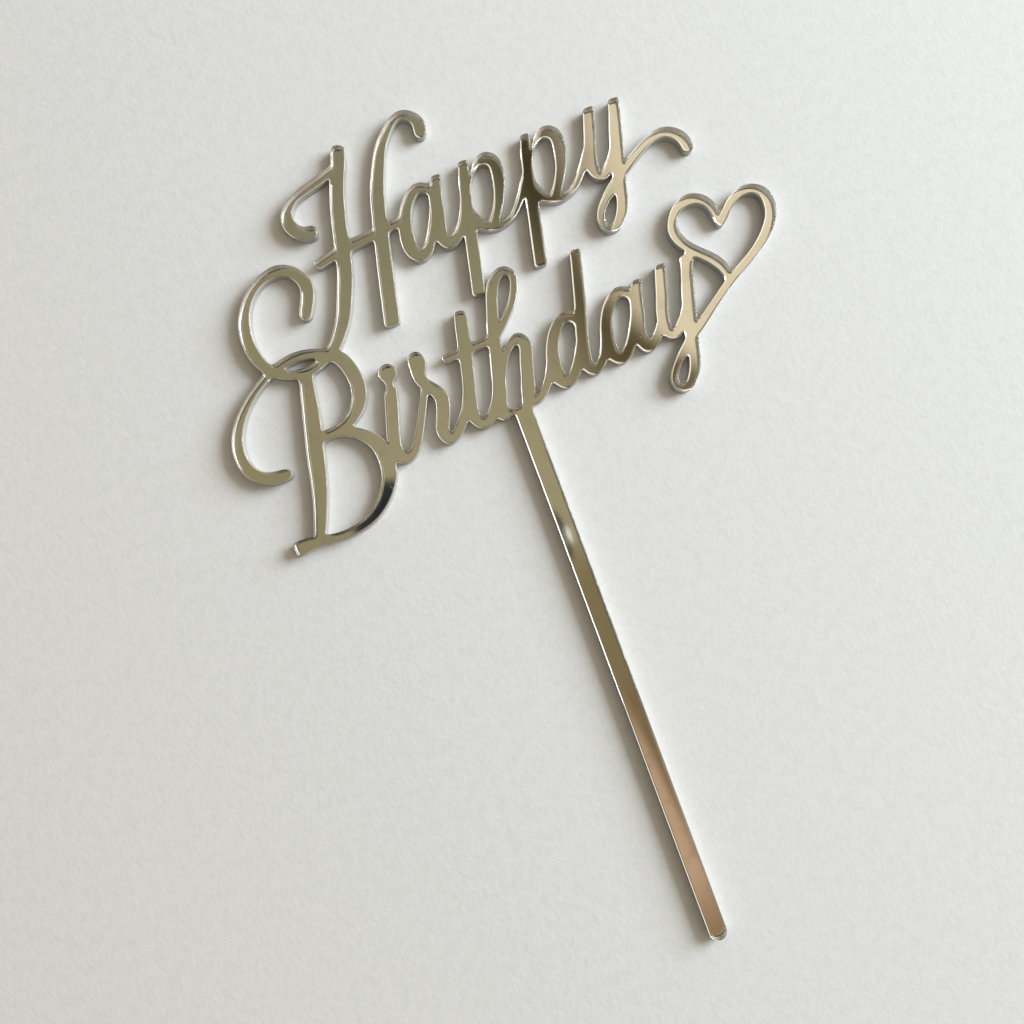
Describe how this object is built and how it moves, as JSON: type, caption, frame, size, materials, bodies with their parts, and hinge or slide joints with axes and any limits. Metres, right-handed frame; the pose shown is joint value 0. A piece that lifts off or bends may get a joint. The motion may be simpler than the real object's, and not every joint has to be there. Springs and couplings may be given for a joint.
{
  "type": "cake topper",
  "caption": "Flat laser-cut mirror acrylic cake topper: a joined script greeting with a heart at its end and one long rounded stick to push into a cake.",
  "frame": {"origin": "on the stick's centre line, in the plane of the back face, where the stick leaves the lettering", "axes": "+Z out of the mirrored front, +Y along the stick towards the top of the lettering, +X along the writing from left to right; the part lies on its back"},
  "size_m": [0.1365, 0.2008, 0.0028],
  "materials": {
    "clear_acrylic": "clear polished front with fine laser-cut walls",
    "mirror": "neutral silver mirror with slight waves and specks",
    "backing": "grey protective paint, faintly mottled"
  },
  "bodies": {
    "root": {"clear_acrylic_sheet": "clear_acrylic", "mirror_film": "mirror", "backing_coat": "backing"}
  },
  "joints": []
}
